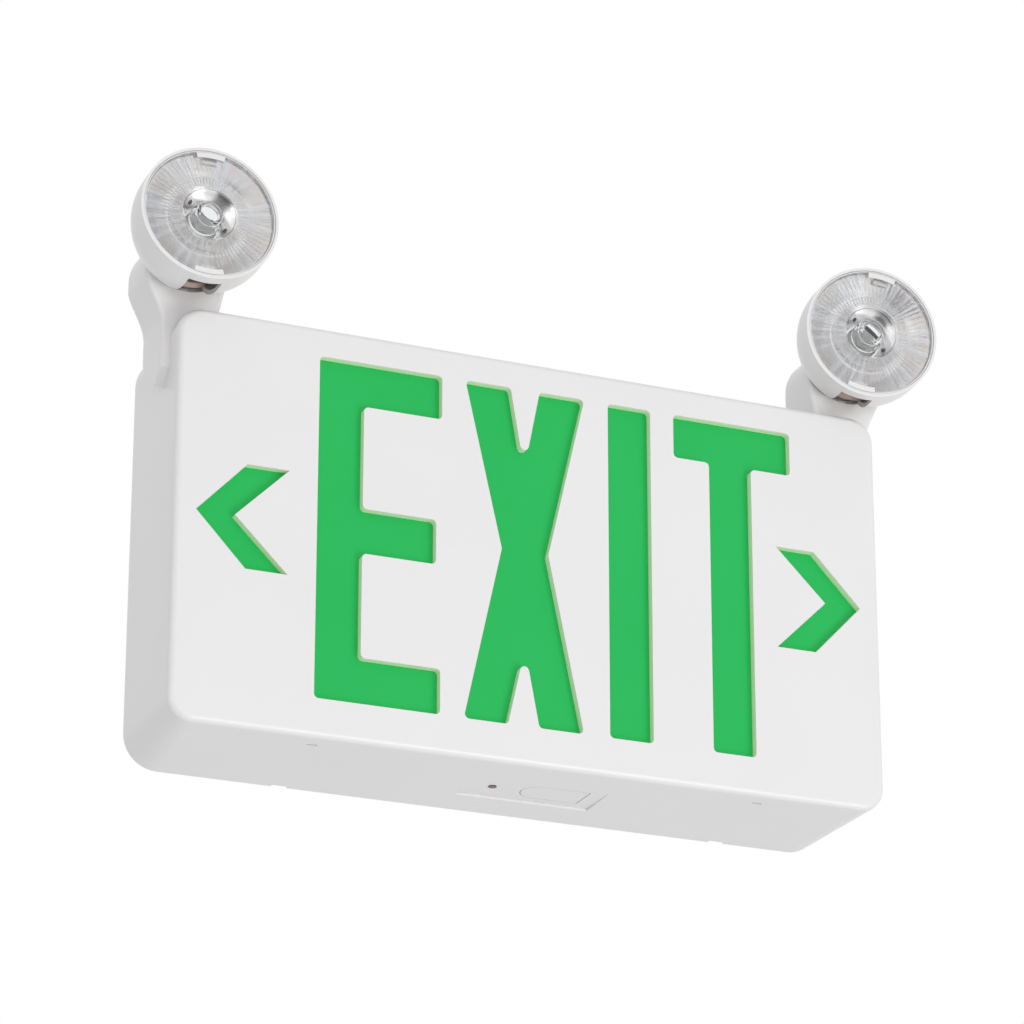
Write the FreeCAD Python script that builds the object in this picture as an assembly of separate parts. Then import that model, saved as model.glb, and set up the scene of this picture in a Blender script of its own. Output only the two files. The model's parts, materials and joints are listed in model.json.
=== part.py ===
import FreeCAD, Part
import math
import os

# Emergency exit light: a stencil-faced sign case with two swivelling lamp heads.
# Millimetres. Origin: centre of the wall face. +X right, -Y out of the wall, +Z up.
V = FreeCAD.Vector

# --- sign case -------------------------------------------------------------
case_w, case_h = 325.0, 182.4        # at the face
back_w, back_h = 322.0, 186.4        # at the wall
case_d = 63.0
face_r, back_r = 11.0, 15.0          # corner radii, front and back
edge_r = 3.0                         # round around the face
wall_t, face_t = 2.2, 3.8
inner_r = 8.5                        # inside corner at the face
panel_post_x, panel_post_z = 151.0, 70.0         # ledges that carry the colour panel

# --- lamp arms and heads ---------------------------------------------------
head_x, head_y, head_z = 155.8, -70.0, 126.8     # centre of the ball of each head
bowl_r, bowl_t = 30.4, 2.0
rim_u = 9.4                                      # rim plane ahead of the ball centre
lens_r, lens_t = 29.1, 1.6
lens_fit = 0.15
ledge_u = 5.2                                    # step inside the bowl that the reflector rests on
seat_gap, seat_t = 0.4, 3.2                      # cup in the arm round the ball
arm_front, arm_back = -50.0, -24.0
arm_w, arm_cup_z, arm_top_z = 36.0, 109.0, 114.5
arm_wall = 3.0
arm_edge_r = 2.2
foot_in, foot_out = 142.3, 166.2                 # sides of the stem where it meets the case
foot_z = 60.0                                    # lowest point of the pointed foot
post_angle = 34.0                                # clamp post, degrees below level
post_r, post_fit = 5.0, 0.08
post_head_r, post_head_t = 6.6, 1.4
washer_r, washer_t, washer_gap = 10.6, 4.6, 0.35 # washer that slides inside the bowl
spring_len, nut_t, nut_r = 6.0, 3.0, 7.0
slot_w, slot_front, slot_back = 14.6, -98.0, 4.0  # opening in the bowl, mm and degrees
left_turn, left_tilt = 0.0, 2.3                  # how each head stands: swivel, tilt
right_turn, right_tilt = 13.0, -4.0

# --- test button and pilot light in the bottom ------------------------------
btn_x0, btn_x1, btn_y, btn_w = 5.8, 34.0, -31.5, 15.0
btn_gap, btn_t, btn_proud = 0.4, 1.7, 0.5
stem_r, stem_len = 2.4, 6.6
pilot_x, pilot_y, pilot_r = -7.8, -32.0, 1.7
pad_x0, pad_x1, pad_y0, pad_y1 = -19.0, 41.5, -41.0, -18.5     # shallow recess round both
pad_lift = 0.55

# --- back plate -------------------------------------------------------------
plate_t, plate_gap = 2.2, 0.3
box_pitch, box_hole_r = 88.9, 2.4                # outlet-box screws
key_pitch, key_r, key_slot_r = 228.6, 4.6, 2.3
entry_r = 11.1                                   # cable entry

face_slot_x = (-97.0, 105.5)                     # release slots of the face, in the bottom
snap_x = (-92.0, 111.0)                          # snaps of the back plate, top and bottom
rib_x, rib_z = 150.0, 84.0
rib_top = -5.4

# --- electrics -----------------------------------------------------------------
panel_y0, panel_y1 = -59.15, -57.1
panel_w, panel_h = 306.0, 164.0
sign_y0, sign_y1 = -33.2, -31.6                  # lamp strip behind the panel
board_y0, board_y1 = -12.6, -11.0
boss_t = 1.6                                     # thickening inside the bottom
switch_z = 16.0                                  # switch board above the bottom
cell_r, cell_pitch, cell_len = 8.4, 17.2, 48.0
cell_x, cell_y, cell_z = -128.0, -14.0, -74.0

BOTTOM = -case_h / 2
BOSS_TOP = BOTTOM + wall_t + boss_t / 2 + 0.2


def box(x0, y0, z0, x1, y1, z1):
    return Part.makeBox(x1 - x0, y1 - y0, z1 - z0, V(x0, y0, z0))


def cyl(r, p, axis, length):
    return Part.makeCylinder(r, length, V(*p), V(*axis))


def rounded_wire(w, h, r, y):
    """Rounded rectangle, centred, standing in the plane y."""
    x, z = w / 2, h / 2
    pts, edges = [(1, 1), (-1, 1), (-1, -1), (1, -1)], []
    corners = []
    for sx, sz in pts:
        c = V(sx * (x - r), y, sz * (z - r))
        a0 = math.atan2(sz, sx) - math.pi / 4
        arc = [c + V(r * math.cos(a0 + t), 0, r * math.sin(a0 + t)) for t in (0, math.pi / 4, math.pi / 2)]
        corners.append(arc)
    for i, arc in enumerate(corners):
        edges.append(Part.Arc(*arc).toShape())
        edges.append(Part.makeLine(arc[2], corners[(i + 1) % 4][0]))
    return Part.Wire(edges)


def tapered_box(w0, h0, r0, y0, w1, h1, r1, y1):
    return Part.makeLoft([rounded_wire(w0, h0, r0, y0), rounded_wire(w1, h1, r1, y1)], True, True)


def fillet_at(shape, r, test):
    edges = [e for e in shape.Edges if test(e)]
    return shape.makeFillet(r, edges)


# --- sign case ---------------------------------------------------------------
def curve(points):
    line = Part.BSplineCurve()
    line.interpolate([V(x, 0, z) for x, z in points])
    return line.toShape()


def arm_profile(inset=0.0, foot=foot_z):
    """Front outline of the right lamp arm: a waisted stem under a round head."""
    r = arm_w / 2 - inset
    xi, xo = head_x - r, head_x + r
    fi, fo = foot_in + inset, foot_out - inset
    inner = curve([(fi, 90), (foot_in - 2.2 + inset, 98), (xi, arm_cup_z)])
    outer = curve([(xo, arm_cup_z), (head_x + 16.2 - inset, 104), (head_x + 13.5 - inset, 98.5),
                   (head_x + 11.3 - inset, 93), (fo, 87)])
    top = Part.Arc(V(xi, 0, arm_top_z), V(head_x, 0, arm_top_z + r), V(xo, 0, arm_top_z))
    return Part.Wire([
        Part.makeLine(V(fi, 0, foot), V(fi, 0, 90)), inner,
        Part.makeLine(V(xi, 0, arm_cup_z), V(xi, 0, arm_top_z)), top.toShape(),
        Part.makeLine(V(xo, 0, arm_top_z), V(xo, 0, arm_cup_z)), outer,
        Part.makeLine(V(fo, 0, 87), V(fo, 0, foot)),
        Part.makeLine(V(fo, 0, foot), V(fi, 0, foot))])


def arm_block():
    """Stem with rounded edges, its foot cut to a point on the side of the case."""
    face = Part.Face(arm_profile())
    face.translate(V(0, arm_front, 0))
    block = face.extrude(V(0, arm_back - arm_front, 0))
    flat = [e for e in block.Edges if abs(e.BoundBox.YMin - e.BoundBox.YMax) < 1e-6
            and e.BoundBox.ZMax > foot_z + 10]
    block = block.makeFillet(arm_edge_r, flat)
    tip_y = arm_front + 8.0
    corners = [(arm_front - 1, foot_z + 8.5), (tip_y, foot_z + 1), (arm_back + 1, foot_z + 19),
               (arm_back + 1, foot_z - 1), (arm_front - 1, foot_z - 1)]
    wire = Part.makePolygon([V(foot_in - 1, y, z) for y, z in corners + corners[:1]])
    return block.cut(Part.Face(wire).extrude(V(foot_out - foot_in + 2, 0, 0)))


def arm_cavity():
    """Way for the lamp leads: hollow stem, closed off by the cup round the ball."""
    face = Part.Face(arm_profile(arm_wall))
    face.translate(V(0, arm_front + arm_wall, 0))
    hollow = face.extrude(V(0, arm_back - arm_front - 2 * arm_wall, 0))
    foot = box(case_w / 2 - wall_t, arm_front, foot_z - 1, foot_out, arm_back, foot_z + 24)
    return hollow.cut(foot).cut(Part.makeSphere(bowl_r + seat_gap + seat_t, V(head_x, head_y, head_z)))


def post_dir():
    a = math.radians(post_angle)
    return V(0, math.cos(a), -math.sin(a))


def mirrored(shape):
    return shape.mirror(V(0, 0, 0), V(1, 0, 0))


def button_outline(grow, z0, z1):
    """Tongue with a round free end; grow widens it all round."""
    r = btn_w / 2 + grow
    tongue = box(btn_x0 + btn_w / 2, btn_y - r, z0, btn_x1 + grow, btn_y + r, z1)
    return tongue.fuse(cyl(r, (btn_x0 + btn_w / 2, btn_y, z0), (0, 0, 1), z1 - z0))


def case_cuts():
    z = BOTTOM - 5
    cuts = [button_outline(btn_gap, z, BOTTOM + 6),
            cyl(pilot_r + 0.15, (pilot_x, pilot_y, z), (0, 0, 1), 12)]
    for x in face_slot_x:
        cuts.append(box(x - 2.2, -54.0, z, x + 2.2, -52.6, BOTTOM + 6))
    for x in snap_x:
        cuts.append(box(x - 3.6, -1.8, z, x + 3.6, 1, BOTTOM + 6))
    return cuts


def case():
    outer = tapered_box(case_w, case_h, face_r, -case_d, back_w, back_h, back_r, 0)
    outer = fillet_at(outer, edge_r, lambda e: abs(e.BoundBox.YMax + case_d) < 1e-3)
    arm = arm_block()
    outer = outer.multiFuse([arm, mirrored(arm)])
    k = (case_d - face_t) / case_d
    inner = tapered_box(case_w - 2 * wall_t, case_h - 2 * wall_t, inner_r, -case_d + face_t,
                        back_w - 2 * wall_t, back_h - 2 * wall_t, back_r - wall_t, 1.0)
    cavity = arm_cavity()
    shell = outer.cut(inner).cut(cavity).cut(mirrored(cavity))
    ball = V(head_x, head_y, head_z)
    seat = Part.makeSphere(bowl_r + seat_gap, ball)
    seat = seat.fuse(cyl(post_r + post_fit, ball + post_dir() * 20, post_dir(), 18))
    shell = shell.cut(seat).cut(mirrored(seat))
    shell = shell.fuse(box(pad_x0 - 3, pad_y0 - 5, BOTTOM + 1.4, pad_x1 + 3, pad_y1 + 5, BOSS_TOP))
    shell = shell.cut(box(pad_x0, pad_y0, BOTTOM - 4, pad_x1, pad_y1, BOTTOM - pad_lift))
    for hole in case_cuts():
        shell = shell.cut(hole)
    for sx in (-1, 1):
        for sz in (-1, 1):
            x, wall, z = sx * panel_post_x, sx * (case_w / 2 - wall_t / 2), sz * panel_post_z
            shell = shell.fuse(box(min(x, wall), -57.0, z - 4, max(x, wall), -55.2, z + 4))
    return shell.removeSplitter()


# --- heads, built looking along -Y around the ball centre at the origin --------
def revolve(points):
    """Turn (radius, forward) points about the aim line."""
    wire = Part.makePolygon([V(r, -u, 0) for r, u in points + points[:1]])
    return Part.Face(wire).revolve(V(0, 0, 0), V(0, 1, 0), 360)


def ball_section(r, u):
    """Half ball of radius r behind the origin carried forward to u as a cylinder."""
    ball = Part.makeSphere(r)
    keep = box(-r - 1, 0, -r - 1, r + 1, r + 1, r + 1)
    return ball.common(keep).fuse(cyl(r, (0, 0, 0), (0, -1, 0), u))


def bowl():
    shell = ball_section(bowl_r, rim_u).cut(ball_section(bowl_r - bowl_t, rim_u + 1))
    shell = shell.cut(cyl(lens_r + lens_fit, (0, -rim_u + lens_t + 0.4, 0), (0, -1, 0), 5))
    ledge = cyl(bowl_r - bowl_t / 2, (0, -ledge_u, 0), (0, -1, 0), 1.0)
    shell = shell.fuse(ledge.cut(cyl(bowl_r - bowl_t - 1.6, (0, 0, 0), (0, -1, 0), 20)))
    a0, a1 = math.radians(slot_front), math.radians(slot_back)
    n, fan = 12, [V(0, 0, 0)]
    for i in range(n + 1):
        a = a0 + (a1 - a0) * i / n
        fan.append(V(0, 40 * math.cos(a), 40 * math.sin(a)))
    wedge = Part.Face(Part.makePolygon(fan + fan[:1])).extrude(V(slot_w, 0, 0))
    wedge.translate(V(-slot_w / 2, 0, 0))
    return shell.cut(wedge)


def reflector():
    """Dish resting on the bowl's ledge, with a neck on the lamp board and two tabs under the lens."""
    rim = bowl_r - bowl_t - 0.3
    dish = revolve([(rim, 7.2), (rim - 0.5, 7.2), (16.6, 1.6), (15.6, 1.4), (8.2, -4.6), (7.4, -4.6),
                    (7.4, -6.0), (8.8, -6.0), (15.8, 0.2), (17.0, 0.4), (rim - 1.9, 6.2), (rim, 6.2)])
    for s in (-1, 1):
        dish = dish.fuse(box(-3.2, -7.2, s * 25.2 - 1.4, 3.2, -5.0, s * 25.2 + 1.4))
    return dish


def lens():
    return cyl(lens_r, (0, -rim_u + lens_t + 0.35, 0), (0, -1, 0), lens_t)


def optic():
    return revolve([(0.0, 3.4), (5.2, 3.4), (7.0, 2.4), (7.0, 1.2), (4.6, -4.9), (0.0, -4.9)])


def lamp_board():
    plate = cyl(13.0, (0, 7.6, 0), (0, -1, 0), 1.6)
    chip = box(-1.75, 5.0, -1.75, 1.75, 6.0, 1.75)
    return plate.fuse(chip)


def heat_sink():
    plug = cyl(12.0, (0, 10.2, 0), (0, -1, 0), 2.6)
    return plug


def placed(shape, side, turn, tilt):
    """Stand a head part on its arm: tilt up about X, then swivel about the clamp post."""
    s = shape.copy()
    s.rotate(V(0, 0, 0), V(1, 0, 0), -tilt)
    s.rotate(V(0, 0, 0), post_dir(), turn)
    s.translate(V(side * head_x, head_y, head_z))
    return s


def along_post(r0, r1, radius, bore=0.0):
    """Ring or disc on the clamp post between two distances from the ball centre."""
    d = post_dir()
    s = cyl(radius, d * r0, d, r1 - r0)
    return s.cut(cyl(bore, d * (r0 - 1), d, r1 - r0 + 2)) if bore else s


WASHER_TOP = bowl_r - bowl_t - washer_gap        # along the post, from the ball centre
WASHER_SEAT = WASHER_TOP - washer_t
CUP_BACK = bowl_r + seat_gap + seat_t
NUT_SEAT = CUP_BACK + spring_len


def clamp_post():
    shaft = along_post(WASHER_SEAT - post_head_t, NUT_SEAT + nut_t + 0.3, post_r)
    return shaft.fuse(along_post(WASHER_SEAT - post_head_t, WASHER_SEAT, post_head_r))


def ball_washer():
    """Domed towards the bowl, flat under the head of the post."""
    cap = Part.makeSphere(WASHER_TOP).common(along_post(WASHER_SEAT, WASHER_TOP + 1, washer_r))
    return cap.cut(along_post(10, 45, post_r + 0.05))


def clamp_spring():
    """Four coils on the post, joined by a thin sleeve."""
    pitch = spring_len / 4
    rings = [along_post(CUP_BACK + pitch * i, CUP_BACK + pitch * i + 1, 7.2, 5.3) for i in range(4)]
    return along_post(CUP_BACK, NUT_SEAT, 5.9, 5.3).multiFuse(rings)


def clamp_nut():
    corner = [math.pi / 3 * i for i in range(7)]
    hexa = Part.Face(Part.makePolygon([V(nut_r * math.cos(a), nut_r * math.sin(a), 0) for a in corner]))
    hexa = hexa.extrude(V(0, 0, nut_t))
    hexa.Placement = FreeCAD.Placement(post_dir() * NUT_SEAT, FreeCAD.Rotation(V(0, 0, 1), post_dir()))
    return hexa.cut(along_post(38, 46, post_r + 0.05))


# --- inside the case -----------------------------------------------------------
def panel():
    return box(-panel_w / 2, panel_y0, -panel_h / 2, panel_w / 2, panel_y1, panel_h / 2)


def sign_board():
    return box(-140.0, sign_y0, -14.0, 140.0, sign_y1, 14.0)


def sign_leds():
    places = [-126.0 + 28.0 * i for i in range(10)]
    return Part.makeCompound([box(x - 2.5, sign_y0 - 1.6, -2.5, x + 2.5, sign_y0, 2.5) for x in places])


def board_stands():
    length = -plate_t - sign_y1
    return Part.makeCompound([cyl(3.0, (x, -plate_t, 0), (0, -1, 0), length) for x in (-132.0, 0.0, 132.0)])


def back_plate():
    w, h = back_w - 2 * (wall_t + plate_gap), back_h - 2 * (wall_t + plate_gap)
    r = back_r - wall_t - plate_gap
    wire = rounded_wire(w, h, r, -plate_t)
    plate = Part.Face(wire).extrude(V(0, plate_t, 0))
    holes = [cyl(entry_r, (0, -4, 38), (0, 1, 0), 6)]
    for s in (-1, 1):
        holes.append(cyl(box_hole_r, (s * box_pitch / 2, -4, 38), (0, 1, 0), 6))
        holes.append(cyl(key_r, (s * key_pitch / 2, -4, 30), (0, 1, 0), 6))
        holes.append(box(s * key_pitch / 2 - key_slot_r, -4, 30, s * key_pitch / 2 + key_slot_r, 2, 40))
        holes.append(cyl(key_slot_r, (s * key_pitch / 2, -4, 40), (0, 1, 0), 6))
    for hole in holes:
        plate = plate.cut(hole)
    ribs = [box(-rib_x, rib_top, z - 0.9, rib_x, -plate_t, z + 0.9) for z in (-rib_z, rib_z)]
    ribs += [box(x - 0.9, rib_top, -rib_z, x + 0.9, -plate_t, rib_z) for x in (-rib_x, rib_x)]
    snaps = [box(x - 5, -12.0, s * 86.6 - 1.0, x + 5, -plate_t, s * 86.6 + 1.0)
             for x in snap_x for s in (-1, 1)]
    return plate.multiFuse(ribs + snaps).removeSplitter()


def control_board():
    return box(20.0, board_y0, -76.0, 138.0, board_y1, -24.0)


def board_posts():
    length = -plate_t - board_y1
    places = [(x, z) for x in (26.0, 132.0) for z in (-70.0, -30.0)]
    return Part.makeCompound([cyl(2.8, (x, -plate_t, z), (0, -1, 0), length) for x, z in places])


def transformer():
    core = box(88, -37.6, -70, 128, board_y0, -36)
    coil = box(92, -34.6, -74, 124, -15.6, -32)
    return core.fuse(coil)


def battery_pack():
    cells = [cyl(cell_r, (cell_x + cell_pitch * i, cell_y, cell_z), (0, 0, 1), cell_len) for i in range(4)]
    wrap = box(cell_x, cell_y - cell_r + 0.1, cell_z + 0.6, cell_x + 3 * cell_pitch,
               cell_y + cell_r - 0.1, cell_z + cell_len - 0.6)
    return wrap.multiFuse(cells)


def battery_strap():
    ring = box(-138.0, -24.0, -54.0, -66.0, -plate_t, -46.0)
    return ring.cut(box(-136.6, -22.5, -55.0, -67.4, -1.0, -45.0))


def terminal_block():
    block = box(30.0, -24.6, -44.0, 56.0, board_y0, -32.0)
    holes = [cyl(1.9, (35.0 + 8.0 * i, -25.0, -38.0), (0, 1, 0), 6.0) for i in range(3)]
    for hole in holes:
        block = block.cut(hole)
    return block


STEM_X = btn_x0 + btn_w / 2 + 1.0


def test_button():
    tongue = button_outline(0.0, BOTTOM - btn_proud, BOTTOM + btn_t)
    return tongue.fuse(cyl(stem_r, (STEM_X, btn_y, BOTTOM + btn_t - 0.1), (0, 0, 1), stem_len))


def test_switch():
    """Small push switch, hanging from its board over the button's stem."""
    plunger_z = BOTTOM + btn_t - 0.1 + stem_len + 1.2
    body = box(STEM_X - 4.0, btn_y - 4.0, plunger_z + 1.0, STEM_X + 4.0, btn_y + 4.0, BOTTOM + switch_z)
    return body.fuse(cyl(1.8, (STEM_X, btn_y, plunger_z), (0, 0, 1), 2.0))


SWITCH_POSTS = [(x, btn_y + s * 10.9) for x in (-12.0, 31.6) for s in (-1, 1)]


def switch_board():
    return box(-15.0, btn_y - 13.5, BOTTOM + switch_z, 34.6, btn_y + 13.5, BOTTOM + switch_z + 1.6)


def switch_posts():
    length = BOTTOM + switch_z - BOSS_TOP
    return Part.makeCompound([cyl(2.0, (x, y, BOSS_TOP), (0, 0, 1), length) for x, y in SWITCH_POSTS])


def pilot_light():
    """Lamp under the switch board with a light pipe down to the bottom face."""
    pipe = cyl(pilot_r, (pilot_x, pilot_y, BOTTOM - 0.9), (0, 0, 1), 13.6)
    return pipe.fuse(cyl(3.0, (pilot_x, pilot_y, BOTTOM + 12.0), (0, 0, 1), switch_z - 12.0))


def build():
    parts = {
        "case": case(), "back_plate": back_plate(), "colour_panel": panel(),
        "sign_board": sign_board(), "sign_leds": sign_leds(), "board_stands": board_stands(),
        "control_board": control_board(), "board_posts": board_posts(), "transformer": transformer(),
        "battery_pack": battery_pack(), "battery_strap": battery_strap(),
        "terminal_block": terminal_block(), "test_button": test_button(),
        "test_switch": test_switch(), "switch_board": switch_board(), "switch_posts": switch_posts(),
        "pilot_light": pilot_light()}
    heads = {"lamp_bowl": bowl(), "lamp_reflector": reflector(), "lamp_lens": lens(),
             "lamp_optic": optic(), "lamp_board": lamp_board(), "lamp_heat_sink": heat_sink()}
    clamps = {"clamp_post": clamp_post(), "clamp_washer": ball_washer(),
              "clamp_spring": clamp_spring(), "clamp_nut": clamp_nut()}
    for side, name, turn, tilt in ((-1, "left_", left_turn, left_tilt), (1, "right_", right_turn, right_tilt)):
        for key, shape in heads.items():
            parts[name + key] = placed(shape, side, turn, tilt)
        for key, shape in clamps.items():
            parts[name + key] = placed(shape, side, 0.0, 0.0)
    return parts


os.makedirs("parts", exist_ok=True)
for name, shape in build().items():
    shape.exportStep("parts/%s.step" % name)
    print(name, shape.ShapeType, len(shape.Solids), shape.isValid(), round(shape.Volume / 1000, 2))
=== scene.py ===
import bpy, bmesh, json, math
from mathutils import Matrix, Vector


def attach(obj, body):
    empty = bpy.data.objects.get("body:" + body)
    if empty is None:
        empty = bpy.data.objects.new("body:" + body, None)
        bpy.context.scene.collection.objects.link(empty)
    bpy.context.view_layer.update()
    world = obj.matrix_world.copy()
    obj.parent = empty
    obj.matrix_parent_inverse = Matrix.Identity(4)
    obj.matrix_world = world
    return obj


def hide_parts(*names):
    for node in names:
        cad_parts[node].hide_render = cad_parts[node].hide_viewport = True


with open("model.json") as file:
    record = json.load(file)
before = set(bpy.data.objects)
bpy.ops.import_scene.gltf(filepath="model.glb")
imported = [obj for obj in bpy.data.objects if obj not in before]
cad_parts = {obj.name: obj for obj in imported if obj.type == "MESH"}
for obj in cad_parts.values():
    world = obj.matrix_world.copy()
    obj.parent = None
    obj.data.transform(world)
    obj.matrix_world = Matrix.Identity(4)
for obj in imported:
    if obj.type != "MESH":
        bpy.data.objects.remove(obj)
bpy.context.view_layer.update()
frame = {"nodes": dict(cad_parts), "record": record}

# Looks of the emergency exit light. The frame, the room and the camera are in metres, with the
# origin at the centre of the wall face, +X right, -Y out of the wall and +Z up. The shapes that
# this script adds are given in millimetres, as in the part's source, and scaled by MM.
NODES = frame["nodes"]
JOINTS = {joint["name"]: joint for joint in frame["record"]["behaviour"]["joints"]}
SIDES = ("left", "right")
MM = 0.001

# ---------------------------------------------------------------- dimensions, millimetres
# The face of the case and what is cut through it. Out of the wall, y is negative.
FACE_FRONT, FACE_BACK = -63.0, -59.2
CUT_FROM, CUT_TO = FACE_FRONT - 3.0, FACE_BACK + 1.7     # cutters reach past the face both ways
GREEN_BOUNCE_FULL = FACE_BACK - 0.3              # from here back a cut's wall has its full painted green bounce light
WALL_MARGIN = 0.1                        # a cut's wall has its centre this far inside the face
WALL_X, WALL_Z = 158.0, 83.0             # and no further out than these
SIDEWAYS = 0.2                           # most y in the normal of a wall
TOP, LOW = 78.0, -74.4                   # letters, 152.4 high
BAR, STEM = 20.0, 20.2                   # level strokes, upright strokes
LETTER_R, CORNER_STEPS = 2.0, 4          # rounded corners of the letters
CHEVRON_Z, CHEVRON_RISE = 0.6, 23.2

# The lamp fronts. r is the distance from a lamp's aim line, u the distance ahead of its ball centre.
STAND = {"left": (0.0, 2.3), "right": (13.0, -4.0)}      # swivel and tilt of the CAD heads, degrees
LENS_R, LENS_FRONT, LENS_BACK = 29.1, 9.05, 7.45
LENS_EDGE_R, LENS_CHAMFER = 28.5, 0.25   # flat rim outside the flutes, its bevelled front edge
WINDOW_R, ZONE_R = 11.8, 17.2            # clear centre, step between the two rows of flutes
GLINT_R = 20.0                         # most flutes within this get painted glint streaks
FLUTES, FLUTE_STEPS = 72, 6              # how many, points across each
CLIP_R, CLIP_U = (26.0, 28.3), (8.9, 9.2)
CLIP_ANGLE, CLIP_STEPS = 0.46, 8         # radians round the aim line
CLIP_MIDDLES = (math.pi / 2, -math.pi / 2)
PIN_PLACE_R, PIN_R, PIN_TIP_R, PIN_SIDES = 9.4, 0.8, 0.64, 20
PIN_U = (5.6, 7.2)
PIN_ANGLES = (150.0, -38.0)              # degrees round the aim line

# ---------------------------------------------------------------- dimensions, metres
FLOOR_Z, FLOOR_HALF = -2.3, 6.0
CAMERA_PLACE, CAMERA_AIM = (-0.6756, -1.6411, -0.6551), (-0.00650, -0.05, 0.02627)
CAMERA_LENS, CAMERA_SENSOR, CAMERA_ROLL = 152.416, 36.0, 0.042       # mm, mm, degrees
CAMERA_REACH = 50.0

# ---------------------------------------------------------------- material helpers
MIX_FACTOR, MIX_A, MIX_B, MIX_RESULT = 0, 6, 7, 2        # a Mix node's sockets when it mixes colours
GRAIN_HEIGHT, GRAIN_DETAIL, CLOUD_DETAIL = 0.0002, 2.0, 3.0
PLASTIC_CLOUDS = 18.0


def new_material(name):
    """A material with nodes, and its nodes, links and main shader."""
    material = bpy.data.materials.new(name)
    material.use_nodes = True
    tree = material.node_tree
    return material, tree.nodes, tree.links, tree.nodes["Principled BSDF"]


def grain(nodes, links, shader, scale, strength):
    """Fine unevenness of the surface. Gives back the coordinates, for other patterns."""
    place = nodes.new("ShaderNodeTexCoord")
    noise = nodes.new("ShaderNodeTexNoise")
    noise.inputs["Scale"].default_value = scale
    noise.inputs["Detail"].default_value = GRAIN_DETAIL
    bump = nodes.new("ShaderNodeBump")
    bump.inputs["Strength"].default_value = strength
    bump.inputs["Distance"].default_value = GRAIN_HEIGHT
    links.new(place.outputs["Object"], noise.inputs["Vector"])
    links.new(noise.outputs["Fac"], bump.inputs["Height"])
    links.new(bump.outputs["Normal"], shader.inputs["Normal"])
    return place


def two_tones(nodes, links, shader, factor, first, second):
    """Base colour between two tones: the first where the factor is 0, the second where it is 1."""
    mix = nodes.new("ShaderNodeMix")
    mix.data_type = "RGBA"
    mix.inputs[MIX_A].default_value = (*first, 1)
    mix.inputs[MIX_B].default_value = (*second, 1)
    links.new(factor, mix.inputs[MIX_FACTOR])
    links.new(mix.outputs[MIX_RESULT], shader.inputs["Base Color"])


def clouds(nodes, links, shader, place, scale, first, second):
    """Soft clouds of two tones in the base colour."""
    noise = nodes.new("ShaderNodeTexNoise")
    noise.inputs["Scale"].default_value = scale
    noise.inputs["Detail"].default_value = CLOUD_DETAIL
    links.new(place.outputs["Object"], noise.inputs["Vector"])
    two_tones(nodes, links, shader, noise.outputs["Fac"], first, second)


def blend(nodes, links, factor, under, over):
    """Mix of two shader nodes: the first where the factor is 0, the second where it is 1."""
    mix = nodes.new("ShaderNodeMixShader")
    links.new(factor, mix.inputs["Fac"])
    links.new(under.outputs[0], mix.inputs[1])
    links.new(over.outputs[0], mix.inputs[2])
    return mix


def plastic(name, first, second, rough, bump=0.08, scale=900.0, shine=0.5):
    """Opaque plastic with fine grain, in two close tones."""
    material, nodes, links, shader = new_material(name)
    place = grain(nodes, links, shader, scale, bump)
    clouds(nodes, links, shader, place, PLASTIC_CLOUDS, first, second)
    shader.inputs["Roughness"].default_value = rough
    shader.inputs["Specular IOR Level"].default_value = shine
    return material


def metal(name, first, second, rough, bump=0.1, scale=400.0, cloud_scale=60.0):
    """Bare metal with fine grain, in two close tones."""
    material, nodes, links, shader = new_material(name)
    place = grain(nodes, links, shader, scale, bump)
    clouds(nodes, links, shader, place, cloud_scale, first, second)
    shader.inputs["Metallic"].default_value = 1.0
    shader.inputs["Roughness"].default_value = rough
    return material


def clear(name, tint, rough, ior=1.49, through=1.0):
    """Clear plastic. It is milky where less than all the light goes through."""
    material, nodes, links, shader = new_material(name)
    grain(nodes, links, shader, scale=120.0, strength=0.01)
    shader.inputs["Base Color"].default_value = (*tint, 1)
    shader.inputs["Transmission Weight"].default_value = through
    shader.inputs["Roughness"].default_value = rough
    shader.inputs["IOR"].default_value = ior
    return material


def cut_wall(name, front, back):
    """White moulding with painted light: brighter than the case at the front of the cut as a painted
    highlight, and green towards the back as painted bounce light from the panel.
    """
    material, nodes, links, shader = new_material(name)
    place = grain(nodes, links, shader, scale=700.0, strength=0.05)
    split, depth = nodes.new("ShaderNodeSeparateXYZ"), nodes.new("ShaderNodeMapRange")
    depth.inputs["From Min"].default_value = FACE_FRONT * MM
    depth.inputs["From Max"].default_value = GREEN_BOUNCE_FULL * MM
    links.new(place.outputs["Object"], split.inputs["Vector"])
    links.new(split.outputs["Y"], depth.inputs["Value"])
    two_tones(nodes, links, shader, depth.outputs["Result"], front, back)
    shader.inputs["Roughness"].default_value = 0.45
    return material


# ---------------------------------------------------------------- materials
WHITE = plastic("moulded_white", (0.80, 0.795, 0.785), (0.835, 0.83, 0.82), 0.30, 0.05, 700.0)
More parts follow.
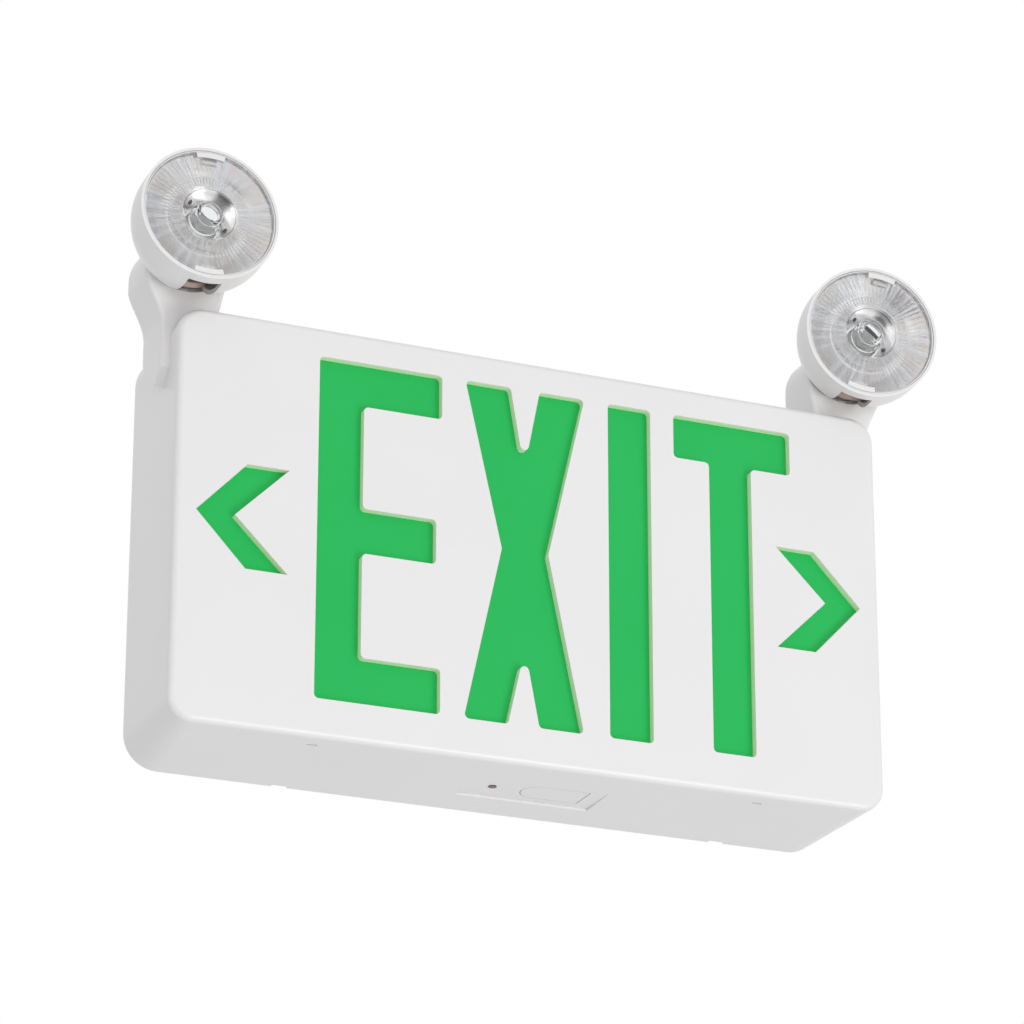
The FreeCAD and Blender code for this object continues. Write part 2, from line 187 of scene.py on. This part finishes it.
# The cut walls are the case's white moulding with painted light: a painted highlight at the front, and
# painted green bounce light from the panel at the back.
PAINTED_WALL = cut_wall("cut_wall_painted_light", (0.97, 0.96, 0.86), (0.85, 0.93, 0.62))
PLATE = plastic("plain_white_moulding", (0.72, 0.72, 0.71), (0.76, 0.76, 0.75), 0.5, 0.1, 1200.0)
GREEN = plastic("green_panel", (0.010, 0.46, 0.092), (0.016, 0.50, 0.106), 0.40, 0.04, shine=0.3)
BOARD = plastic("solder_mask", (0.02, 0.12, 0.05), (0.03, 0.16, 0.07), 0.4, 0.1, 2500.0)
LED = plastic("led_body", (0.80, 0.74, 0.42), (0.85, 0.80, 0.5), 0.35)
CORE = metal("laminated_core", (0.22, 0.21, 0.2), (0.3, 0.29, 0.27), 0.5)
WRAP = plastic("battery_sleeve", (0.02, 0.08, 0.26), (0.03, 0.1, 0.3), 0.35)
BLACK = plastic("black_plastic", (0.015, 0.015, 0.015), (0.02, 0.02, 0.02), 0.5)
BROWN = plastic("brown_washer", (0.60, 0.45, 0.40), (0.68, 0.53, 0.47), 0.5)
PILOT = plastic("pilot_tint", (0.03, 0.012, 0.01), (0.045, 0.016, 0.012), 0.15)
ALU = metal("plain_aluminium", (0.6, 0.6, 0.61), (0.7, 0.7, 0.71), 0.4)
ZINC = metal("zinc_plate", (0.45, 0.45, 0.46), (0.55, 0.55, 0.55), 0.35)
MASK = plastic("white_mask", (0.7, 0.7, 0.68), (0.75, 0.75, 0.72), 0.5)
LENS = clear("clear_lens", (0.985, 0.985, 0.99), 0.02, 1.42)
FLUTED = clear("fluted_zone", (0.946, 0.932, 0.918), 0.14, 1.38, 0.83)
# A lighter, bluer and milkier copy of the fluted zone, put on picked flutes as painted glint streaks.
PAINTED_GLINT = clear("fluted_painted_glint", (0.955, 0.977, 1.0), 0.14, 1.38, 0.75)
EDGE = plastic("frosted_lens_edge", (0.80, 0.80, 0.80), (0.84, 0.84, 0.84), 0.4)
OPTIC = clear("clear_optic", (0.96, 0.975, 0.98), 0.03)
REFLECT = metal("bright_reflector", (0.93, 0.885, 0.845), (0.85, 0.885, 0.93), 0.20, 0.05, 300.0, 24.0)

FINISH = {
    "case": WHITE, "back_plate": PLATE, "colour_panel": GREEN, "sign_board": BOARD, "sign_leds": LED,
    "board_stands": PLATE, "control_board": BOARD, "board_posts": PLATE, "transformer": CORE,
    "battery_pack": WRAP, "battery_strap": PLATE, "terminal_block": BLACK, "test_button": WHITE,
    "test_switch": BLACK, "switch_board": BOARD, "switch_posts": PLATE, "pilot_light": PILOT,
    "lamp_bowl": WHITE, "lamp_reflector": REFLECT, "lamp_lens": LENS, "lamp_optic": OPTIC,
    "lamp_board": MASK, "lamp_heat_sink": ALU, "clamp_post": ZINC, "clamp_washer": BROWN,
    "clamp_spring": ZINC, "clamp_nut": ZINC}


def dress_nodes():
    """Give each CAD node its finish. The left and right lamps share theirs."""
    for name, ob in NODES.items():
        side, _, rest = name.partition("_")
        kind = rest if side in SIDES else name
        ob.data.materials.clear()
        ob.data.materials.append(FINISH[kind])


# ---------------------------------------------------------------- mesh helpers
def finished_mesh(name, bm):
    """Turn a finished bmesh into a mesh and free it."""
    mesh = bpy.data.meshes.new(name)
    bm.to_mesh(mesh)
    bm.free()
    return mesh


def add_object(name, data):
    ob = bpy.data.objects.new(name, data)
    bpy.context.scene.collection.objects.link(ob)
    return ob


def sharpen(mesh, degrees=32.0):
    """Smooth shading, broken at edges that turn by more than the angle."""
    bm = bmesh.new()
    bm.from_mesh(mesh)
    limit = math.radians(degrees)
    for face in bm.faces:
        face.smooth = True
    for edge in bm.edges:
        edge.smooth = len(edge.link_faces) == 2 and edge.calc_face_angle(0.0) <= limit
    bm.to_mesh(mesh)
    bm.free()


# ---------------------------------------------------------------- the stencilled face
def letters():
    """Outlines of the word's four letters, x and z in the plane of the face."""
    mid, half = (TOP + LOW) / 2, BAR / 2
    left, right, arm = -99.85, -44.2, -46.5
    inner = left + STEM
    e = [(left, TOP), (right, TOP), (right, TOP - BAR), (inner, TOP - BAR), (inner, mid + half),
         (arm, mid + half), (arm, mid - half), (inner, mid - half), (inner, LOW + BAR),
         (right, LOW + BAR), (right, LOW), (left, LOW)]
    waist, notch_top, notch_low = 3.4, 41.0, -40.0
    x = [(-33.6, TOP), (-12.6, TOP), (-6.3, notch_top), (0.9, TOP), (21.9, TOP), (4.8, waist),
         (21.0, LOW), (0.6, LOW), (-6.0, notch_low), (-13.6, LOW), (-33.6, LOW), (-16.6, waist)]
    left = 32.9
    right = left + STEM
    i = [(left, TOP), (right, TOP), (right, LOW), (left, LOW)]
    left, right, stem_left = 64.1, 120.3, 81.0
    stem_right = stem_left + STEM
    t = [(left, TOP), (right, TOP), (right, TOP - BAR), (stem_right, TOP - BAR), (stem_right, LOW),
         (stem_left, LOW), (stem_left, TOP - BAR), (left, TOP - BAR)]
    return [e, x, i, t]


def chevrons():
    """Outlines of the two chevrons, mirrored about the middle of the face."""
    tip, shoulder, heel, notch = 152.9, 130.9, 112.4, 135.9
    shape = [(tip, 0), (shoulder, CHEVRON_RISE), (heel, CHEVRON_RISE), (notch, 0),
             (heel, -CHEVRON_RISE), (shoulder, -CHEVRON_RISE)]
    return [[(mirror * x, CHEVRON_Z + z) for x, z in shape] for mirror in (-1, 1)]


def soften(outline, radius):
    """The outline with each corner turned into a small arc."""
    soft, count = [], len(outline)
    for k in range(count):
        corner, before, after = (Vector(outline[j % count]) for j in (k, k - 1, k + 1))
        back, on = (before - corner).normalized(), (after - corner).normalized()
        half = math.acos(max(-1.0, min(1.0, back.dot(on)))) / 2
        centre = corner + (back + on).normalized() * (radius / math.sin(half))
        touch = radius / math.tan(half)
        start = math.atan2(*(corner + back * touch - centre).yx)
        end = math.atan2(*(corner + on * touch - centre).yx)
        turn = (end - start + math.pi) % (2 * math.pi) - math.pi
        for i in range(CORNER_STEPS + 1):
            angle = start + turn * i / CORNER_STEPS
            soft.append(centre + Vector((math.cos(angle), math.sin(angle))) * radius)
    return soft


def prisms(name, outlines, y0, y1):
    """Solids that stand on the outlines, from the plane y0 to the plane y1."""
    bm = bmesh.new()
    for outline in outlines:
        ring = [bm.verts.new((x * MM, y0 * MM, z * MM)) for x, z in outline]
        grown = bmesh.ops.extrude_face_region(bm, geom=[bm.faces.new(ring)])
        moved = [part for part in grown["geom"] if isinstance(part, bmesh.types.BMVert)]
        bmesh.ops.translate(bm, verts=moved, vec=(0, (y1 - y0) * MM, 0))
    bmesh.ops.recalc_face_normals(bm, faces=bm.faces)
    return finished_mesh(name, bm)


def is_cut_wall(face):
    """Whether a face of the case is a side wall of a letter or chevron."""
    x, y, z = face.center / MM
    deep = FACE_FRONT + WALL_MARGIN < y < FACE_BACK - WALL_MARGIN
    return deep and abs(face.normal.y) < SIDEWAYS and abs(x) < WALL_X and abs(z) < WALL_Z


def stencil_case():
    """The case again, with the word and the chevrons cut through its face."""
    mesh = NODES["case"].data.copy()
    mesh.name = "stencil_case"
    ob = add_object("stencil_case", mesh)
    outlines = [soften(letter, LETTER_R) for letter in letters()] + chevrons()
    cutter = add_object("cutters", prisms("cutters", outlines, CUT_FROM, CUT_TO))
    cut = ob.modifiers.new("cut", "BOOLEAN")
    cut.operation, cut.solver, cut.object = "DIFFERENCE", "EXACT", cutter
    done = bpy.data.meshes.new_from_object(ob.evaluated_get(bpy.context.evaluated_depsgraph_get()))
    ob.modifiers.clear()
    ob.data = done
    bpy.data.objects.remove(cutter)
    done.materials.clear()
    done.materials.append(WHITE)
    done.materials.append(PAINTED_WALL)
    for face in done.polygons:
        # The walls of the letters and chevrons get the material with the painted highlight and the
        # painted green bounce light.
        face.material_index = 1 if is_cut_wall(face) else 0
    sharpen(done)
    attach(ob, "base")
    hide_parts("case")


# ---------------------------------------------------------------- lamp fronts
def head_matrix(side):
    """From a head that looks along -Y round the origin to where it stands on the arm."""
    swivel = JOINTS[side + "_swivel_turn"]
    turn, tilt = STAND[side]
    swivelled = Matrix.Rotation(math.radians(turn), 4, Vector(swivel["axis"]))
    return Matrix.Translation(swivel["pos_m"]) @ swivelled @ Matrix.Rotation(math.radians(-tilt), 4, "X")


def around(r, u, angle):
    """The point at radius r and angle round the aim line, u ahead of the ball centre, in metres."""
    return (r * math.cos(angle) * MM, -u * MM, r * math.sin(angle) * MM)


def turned(name, rings, steps):
    """Closed skin through rings, each a function that gives (r, u) at an angle."""
    bm = bmesh.new()
    rows = []
    for ring in rings:
        row = []
        for k in range(steps):
            angle = 2 * math.pi * k / steps
            r, u = ring(angle)
            row.append(bm.verts.new(around(r, u, angle)))
            if r == 0.0:
                row = row * steps        # the pole: one point stands for the whole ring
                break
        rows.append(row)
    for row, following in zip(rows, rows[1:]):
        for k in range(steps):
            after = (k + 1) % steps
            corners = [row[k], row[after], following[after], following[k]]
            corners = [v for i, v in enumerate(corners) if v not in corners[:i]]
            bm.faces.new(corners)
    bmesh.ops.recalc_face_normals(bm, faces=bm.faces)
    return finished_mesh(name, bm)


def lens_rings():
    """Back of the lens from its middle outwards, then its smooth front from the edge inwards."""
    def flat(r, lift=0.0):
        return lambda angle: (r, LENS_BACK + lift)

    def fluted(r, depth, phase):
        return lambda angle: (r, LENS_BACK + depth * abs(math.sin(FLUTES * angle / 2 + phase)))

    def front(r, u):
        return lambda angle: (r, u)

    hollow, inner_phase, outer_phase = 0.5, 0.0, 0.8
    window = [flat(0.0, 0.2), flat(2.0, 0.28), flat(3.8, hollow)]
    moulded_ring = [flat(4.1, 0.1), flat(5.0), flat(5.8, 0.15), flat(6.0, hollow)]
    step = [flat(WINDOW_R - 0.4, hollow), flat(WINDOW_R)]
    inner = [fluted(r, depth, inner_phase)
             for r, depth in ((WINDOW_R + 0.3, 0.1), (14.0, 0.3), (ZONE_R - 0.2, 0.36))]
    between = [flat(ZONE_R), flat(ZONE_R + 0.25)]
    outer = [fluted(r, depth, outer_phase)
             for r, depth in ((ZONE_R + 0.5, 0.3), (21.0, 0.42), (25.0, 0.5), (27.8, 0.4))]
    rim = [flat(LENS_EDGE_R), flat(LENS_R), front(LENS_R, LENS_FRONT - LENS_CHAMFER),
           front(LENS_R - LENS_CHAMFER, LENS_FRONT), front(LENS_EDGE_R, LENS_FRONT)]
    crown_r = 12.0
    crown = [front(crown_r, LENS_FRONT + 0.25), front(0.0, LENS_FRONT + 0.3)]
    return window + moulded_ring + step + inner + between + outer + rim + crown


def lens_finish(face):
    """Which of the lens's materials a face has, by its place in the lens.

    Two waves run round the flutes: the fine one picks flutes for painted glint streaks, a lighter and
    milkier copy of the fluted material; the broad one leaves plain stretches.
    """
    r = math.hypot(face.center.x, face.center.z) / MM
    if r > LENS_EDGE_R:
        return EDGE
    if r < WINDOW_R - 0.2:
        return LENS
    flute = math.floor(math.atan2(face.center.z, face.center.x) / (2 * math.pi) * FLUTES)
    least = -0.5 if r < GLINT_R else 0.15
    fine, broad = math.sin(2.9 * flute), math.sin(0.55 * flute + 1.0)
    # Picked flutes get the lighter copy as painted glint streaks.
    return PAINTED_GLINT if fine > least and broad > 3 * least - 0.9 else FLUTED


def clip(middle):
    """Flat tab bent round the aim line, centred on the angle middle."""
    bm = bmesh.new()
    (r0, r1), (u0, u1) = CLIP_R, CLIP_U
    section = ((r0, u0), (r1, u0), (r1, u1), (r0, u1))
    rows = []
    for k in range(CLIP_STEPS + 1):
        angle = middle + CLIP_ANGLE * (k / CLIP_STEPS - 0.5)
        rows.append([bm.verts.new(around(r, u, angle)) for r, u in section])
    for row, following in zip(rows, rows[1:]):
        for k in range(4):
            after = (k + 1) % 4
            bm.faces.new([row[k], row[after], following[after], following[k]])
    bm.faces.new(rows[0])
    bm.faces.new(rows[-1])
    bmesh.ops.recalc_face_normals(bm, faces=bm.faces)
    return bm


def pin(angle):
    """Small tapered peg beside the LED, along the aim line."""
    bm = bmesh.new()
    u0, u1 = PIN_U
    bmesh.ops.create_cone(bm, cap_ends=True, segments=PIN_SIDES, radius1=PIN_R * MM,
                          radius2=PIN_TIP_R * MM, depth=(u1 - u0) * MM)
    bmesh.ops.rotate(bm, verts=bm.verts, matrix=Matrix.Rotation(math.pi / 2, 3, "X"))
    bmesh.ops.translate(bm, verts=bm.verts, vec=around(PIN_PLACE_R, (u0 + u1) / 2, angle))
    return bm


def joined(name, parts):
    """One mesh of several, each given as a bmesh."""
    whole = bmesh.new()
    for part in parts:
        mesh = finished_mesh("part", part)
        whole.from_mesh(mesh)
        bpy.data.meshes.remove(mesh)
    return finished_mesh(name, whole)


def head_piece(side, name, mesh, smooth=40.0):
    """Stand a mesh on a lamp head and let it ride there."""
    sharpen(mesh, smooth)
    mesh.transform(head_matrix(side))
    ob = add_object(side + "_" + name, mesh)
    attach(ob, side + "_head")
    return ob


def lamp_front(side):
    """The fluted lens of a lamp, its two white clips and the two pins behind it."""
    lens = turned("fluted_lens", lens_rings(), FLUTES * FLUTE_STEPS)
    finishes = [LENS, FLUTED, PAINTED_GLINT, EDGE]
    for finish in finishes:
        lens.materials.append(finish)
    for face in lens.polygons:
        face.material_index = finishes.index(lens_finish(face))
    fluted_lens = head_piece(side, "fluted_lens", lens, 50.0)
    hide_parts(side + "_lamp_lens")
    clips = joined("lens_clips", [clip(middle) for middle in CLIP_MIDDLES])
    clips.materials.append(WHITE)
    head_piece(side, "lens_clips", clips)
    pins = joined("lens_pins", [pin(math.radians(angle)) for angle in PIN_ANGLES])
    pins.materials.append(BLACK)
    head_piece(side, "lens_pins", pins)


# ---------------------------------------------------------------- floor, light, camera
def stage_floor():
    """Pale floor that bounces light up to the object, and is plain white to the camera."""
    bm = bmesh.new()
    bmesh.ops.create_grid(bm, x_segments=1, y_segments=1, size=FLOOR_HALF)
    ob = add_object("floor", finished_mesh("floor", bm))
    ob.location = (0, 0, FLOOR_Z)
    material, nodes, links, shader = new_material("pale_floor")
    shader.inputs["Base Color"].default_value = (0.82, 0.82, 0.82, 1)
    shader.inputs["Roughness"].default_value = 0.9
    path, white = nodes.new("ShaderNodeLightPath"), nodes.new("ShaderNodeEmission")
    seen = blend(nodes, links, path.outputs["Is Camera Ray"], shader, white)
    links.new(seen.outputs["Shader"], nodes["Material Output"].inputs["Surface"])
    ob.data.materials.append(material)
    ob.visible_glossy = False
    ob.visible_transmission = False


CARD_CORE = 0.7          # share of a studio card's angle that has its full tone


def white_world(light, tint, cards):
    """Plain light all round and white to the camera. Metal and glass mirror studio cards in it.

    A card is a direction, half its width as an angle in degrees, and its tone.
    """
    world = bpy.data.worlds.new("studio")
    bpy.context.scene.world = world
    world.use_nodes = True
    nodes, links = world.node_tree.nodes, world.node_tree.links
    room, backdrop = nodes["Background"], nodes.new("ShaderNodeBackground")
    mirrored = nodes.new("ShaderNodeBackground")
    room.inputs["Color"].default_value = (*tint, 1)
    room.inputs["Strength"].default_value = light
    for sky in (backdrop, mirrored):
        sky.inputs["Color"].default_value = (1, 1, 1, 1)
        sky.inputs["Strength"].default_value = 1.0
    place, below = nodes.new("ShaderNodeTexCoord"), None
    for direction, angle, tone in cards:
        dot, edge = nodes.new("ShaderNodeVectorMath"), nodes.new("ShaderNodeMapRange")
        dot.operation = "DOT_PRODUCT"
        dot.inputs[1].default_value = Vector(direction).normalized()
        edge.inputs["From Min"].default_value = math.cos(math.radians(angle))
        edge.inputs["From Max"].default_value = math.cos(math.radians(angle * CARD_CORE))
        card = nodes.new("ShaderNodeMix")
        card.data_type = "RGBA"
        card.inputs[MIX_A].default_value = (1, 1, 1, 1)
        card.inputs[MIX_B].default_value = (*tone, 1)
        links.new(place.outputs["Generated"], dot.inputs[0])
        links.new(dot.outputs["Value"], edge.inputs["Value"])
        links.new(edge.outputs["Result"], card.inputs[MIX_FACTOR])
        if below:
            links.new(below.outputs[MIX_RESULT], card.inputs[MIX_A])
        below = card
    links.new(below.outputs[MIX_RESULT], mirrored.inputs["Color"])
    path, shiny = nodes.new("ShaderNodeLightPath"), nodes.new("ShaderNodeMath")
    shiny.operation = "MAXIMUM"
    links.new(path.outputs["Is Glossy Ray"], shiny.inputs[0])
    links.new(path.outputs["Is Transmission Ray"], shiny.inputs[1])
    reflected = blend(nodes, links, shiny.outputs["Value"], room, mirrored)
    seen = blend(nodes, links, path.outputs["Is Camera Ray"], reflected, backdrop)
    links.new(seen.outputs["Shader"], nodes["World Output"].inputs["Surface"])


def facing(place, aim):
    """Turn of a lamp or camera that stands at one point and looks at another."""
    return (Vector(aim) - Vector(place)).to_track_quat("-Z", "Y")


def lamp(name, place, aim, size, power, glints):
    """Square soft lamp. Glass doesn't show it, and glossy things only where it may glint."""
    data = bpy.data.lights.new(name, "AREA")
    data.shape, data.size, data.energy = "SQUARE", size, power
    ob = add_object(name, data)
    ob.location = place
    ob.rotation_euler = facing(place, aim).to_euler()
    ob.visible_transmission = False
    ob.visible_glossy = glints


def camera():
    """The photograph's view: from below and from the left, with a long lens."""
    data = bpy.data.cameras.new("photo_view")
    data.sensor_width, data.lens, data.clip_end = CAMERA_SENSOR, CAMERA_LENS, CAMERA_REACH
    ob = add_object("photo_view", data)
    roll = Matrix.Rotation(math.radians(CAMERA_ROLL), 4, "Z")
    turn = facing(CAMERA_PLACE, CAMERA_AIM).to_matrix().to_4x4() @ roll
    ob.matrix_world = Matrix.Translation(CAMERA_PLACE) @ turn
    bpy.context.scene.camera = ob


# ---------------------------------------------------------------- the scene
dress_nodes()
stencil_case()
for side in SIDES:
    lamp_front(side)

stage_floor()
DARK_CARD = ((-0.50, -0.66, -0.56), 24.0, (0.03, 0.03, 0.035))
RIGHT_CARD = ((0.47, -0.60, -0.64), 15.0, (2.0, 2.0, 2.0))
LEFT_CARD = ((-0.78, -0.62, -0.05), 13.0, (2.0, 2.0, 2.0))
white_world(light=0.68, tint=(0.995, 0.985, 1.01), cards=[DARK_CARD, RIGHT_CARD, LEFT_CARD])
lamp("key", place=(0.95, -2.2, -1.3), aim=(0, 0, 0), size=1.2, power=18.5, glints=True)
lamp("fill", place=(-0.35, -2.4, -0.35), aim=(0, 0, 0.1), size=0.8, power=10.0, glints=False)
camera()
bpy.context.scene.view_settings.view_transform = "Standard"
